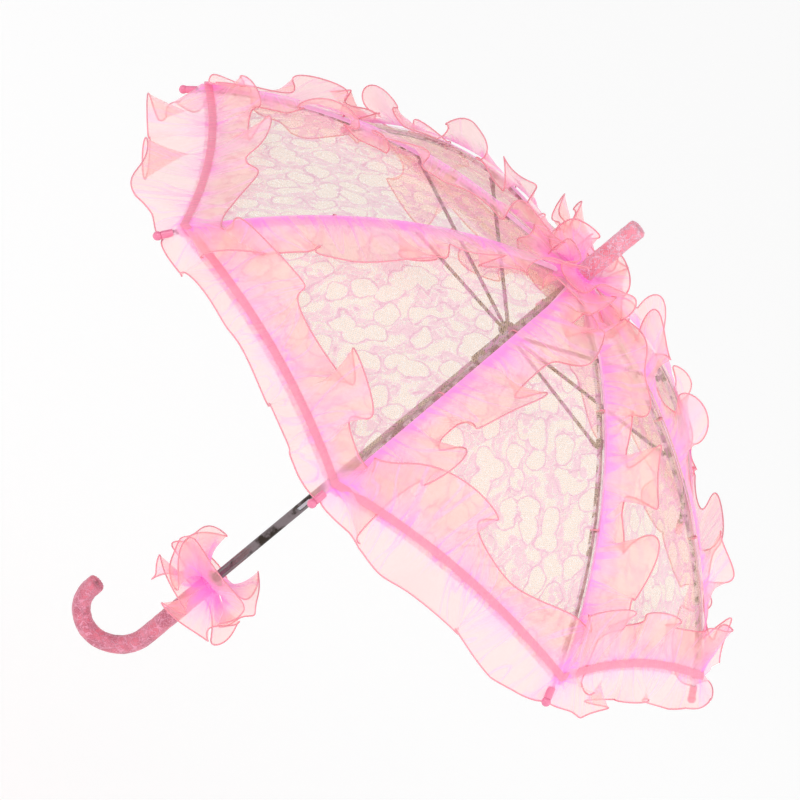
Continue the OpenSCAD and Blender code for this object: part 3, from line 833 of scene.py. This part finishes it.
def makeFerrule(finish):
    tall = ferrule["top"] - ferrule["foot"]

    def place(u, v):
        angle = 2 * math.pi * u
        body = min(1.0, v / ferrule["body"])
        closing = max(0.0, (v - ferrule["body"]) / ferrule["closing"])
        height = (tall - ferrule["round"]) * body
        radius = ferrule["radius"] - ferrule["inset"] + lumpy(angle, height + 0.7)
        radius -= (ferrule["radius"] - ferrule["footRadius"]) \
            * max(0, min(1, 1.5 - height / ferrule["footLength"]))
        if closing > 0:
            bend = min(1, closing / 0.45) * math.pi / 2
            inward = ferrule["round"] * (1 - math.cos(bend))
            if closing > 0.45:
                inward = ferrule["round"] \
                    + (radius - ferrule["round"] - 0.0004) * (closing - 0.45) / 0.55
            radius -= inward
            height += ferrule["round"] * math.sin(bend) - 0.0005 * max(0, closing - 0.45) \
                + 0.0003 * math.sin(16 * angle) * math.sin(math.pi * min(1, closing))
        return Vector((radius * math.cos(angle), radius * math.sin(angle), ferrule["foot"] + height))

    sleeve = layCloth("ferrule_cover", ferrule["around"], ferrule["along"], place,
                      lambda u, v: (u * 2 * math.pi * ferrule["radius"] + 0.4, v * 0.085), finish=finish)
    closeSleeve(sleeve)
    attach(sleeve, "frame")
    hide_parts("ferrule")


def closeSleeve(sleeve):
    useOnly(sleeve)
    bpy.ops.object.mode_set(mode="EDIT")
    bpy.ops.mesh.select_all(action="SELECT")
    bpy.ops.mesh.remove_doubles(threshold=0.00002)
    bpy.ops.mesh.select_all(action="DESELECT")
    bpy.ops.mesh.select_non_manifold(extend=False)
    bpy.ops.mesh.fill_holes(sides=0)
    bpy.ops.mesh.select_all(action="SELECT")
    bpy.ops.mesh.normals_make_consistent(inside=False)
    bpy.ops.object.mode_set(mode="OBJECT")


# thread lashings that hold the cover to each rib and its tip
lashing = {"thread": 0.00042, "turns": 5, "radius": 0.0031, "reflectionSpots": (0.140, 0.240)}


def makeLashings(rib, finish):
    lines = []
    along = tipSlope - alongArc(0.0085)
    for number, slope in enumerate([along] + [slopeAt(reach) for reach in lashing["reflectionSpots"]]):
        axis = Vector((math.cos(slope), 0, -math.sin(slope)))
        outer = Vector((math.sin(slope), 0, math.cos(slope)))
        lift = 0.0006 if number else 0.0
        centre = gorePoint(0, slope, lift, 0)
        turns = lashing["turns"] if number == 0 else 2
        radius = lashing["radius"] if number else 0.0022
        points = []
        for k in range(turns * 14 + 1):
            angle = 2 * math.pi * k / 14
            shift = (k / 14 - turns / 2) * lashing["thread"] * 2.1
            tall = 1.0 if number == 0 else (1.7 if math.cos(angle) > 0 else 0.9)
            points.append(turned(centre + axis * shift + outer * radius * tall * math.cos(angle)
                                 + Vector((0, radius * math.sin(angle), 0)), rib))
        lines.append(points)
    threads = runCord(f"lashings_{rib}", lines, lashing["thread"], finish, sides=1)
    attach(threads, f"rib_{rib}")


# nodes that cloth pieces replace, besides each canopy and ruffle
coveredNodes = ("handle", "ferrule", "apex_rosette", "handle_rosette")


def finishMetal():
    # each steel's second colour is its painted dark reflection, laid in noise patches
    bright = makeMetal("brightSteel", (0.74, 0.68, 0.80), (0.07, 0.05, 0.08), 0.16, 0.46, 120)
    grey = makeMetal("greySteel", (0.30, 0.22, 0.38), (0.02, 0.012, 0.02), 0.3, 0.50, 150)
    dark = makeMetal("darkSteel", (0.22, 0.18, 0.19), (0.045, 0.035, 0.03), 0.16, 0.47, 60)
    fitting = makeMetal("darkFitting", (0.12, 0.10, 0.12), (0.03, 0.03, 0.03), 0.35, 0.45, 200)
    spring = makeMetal("springSteel", (0.5, 0.5, 0.54), (0.2, 0.19, 0.2), 0.25, 0.4, 150)
    pink = makePlastic("pinkBall", (0.97, 0.24, 0.42), 0.22)
    for name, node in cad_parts.items():
        if name.startswith(("canopy_", "ruffle_")) or name in coveredNodes:
            continue
        chosen = bright
        if name == "shaft":
            chosen = dark
        elif name.startswith("rib_tip"):
            chosen = pink
        elif name.startswith("rib_joint"):
            chosen = fitting
        elif "catch" in name:
            chosen = spring
        elif name in ("runner", "top_notch") or name.startswith("stretcher"):
            chosen = grey
        node.data.materials.clear()
        node.data.materials.append(chosen)


addCamera()
addStudio()
print("camera, lights and floor are set")
finishMetal()
print("metal parts have their finishes")
netFinish, sheerFinish, edgeFinish = makeLace(), makeOrganza(), makeRolledEdge()
satinFinish, hemFinish = makeSatinTape(), makeHemBinding()
handleFinish = makeCoveredSatin("laceOverRoseSatin", (0.50, 0.10, 0.16), (0.76, 0.16, 0.23),
                                (0.90, 0.36, 0.50))
ferruleFinish = makeCoveredSatin("laceOverPinkSatin", (0.86, 0.18, 0.26), (1.0, 0.31, 0.41),
                                 (1.0, 0.66, 0.80))
for ribNumber in ribNumbers:
    makeLacePanel(ribNumber, netFinish, makeTapes(ribNumber, satinFinish, hemFinish))
print("lace panels and tapes are laid")
for ribNumber in ribNumbers:
    makeFrills(ribNumber, sheerFinish, edgeFinish)
print("frills are gathered along the ribs and the hem")
makeRosette("apex_frill", apexRosette, apexCuff, "frame", "apex_rosette", sheerFinish, edgeFinish)
makeRosette("handle_frill", handleRosette, handleCuff, "frame", "handle_rosette", sheerFinish, edgeFinish)
print("rosettes are tied")
makeHandle(handleFinish)
makeFerrule(ferruleFinish)
for ribNumber in ribNumbers:
    makeLashings(ribNumber, edgeFinish)
print("handle, ferrule and lashings are done")

deselectAll()
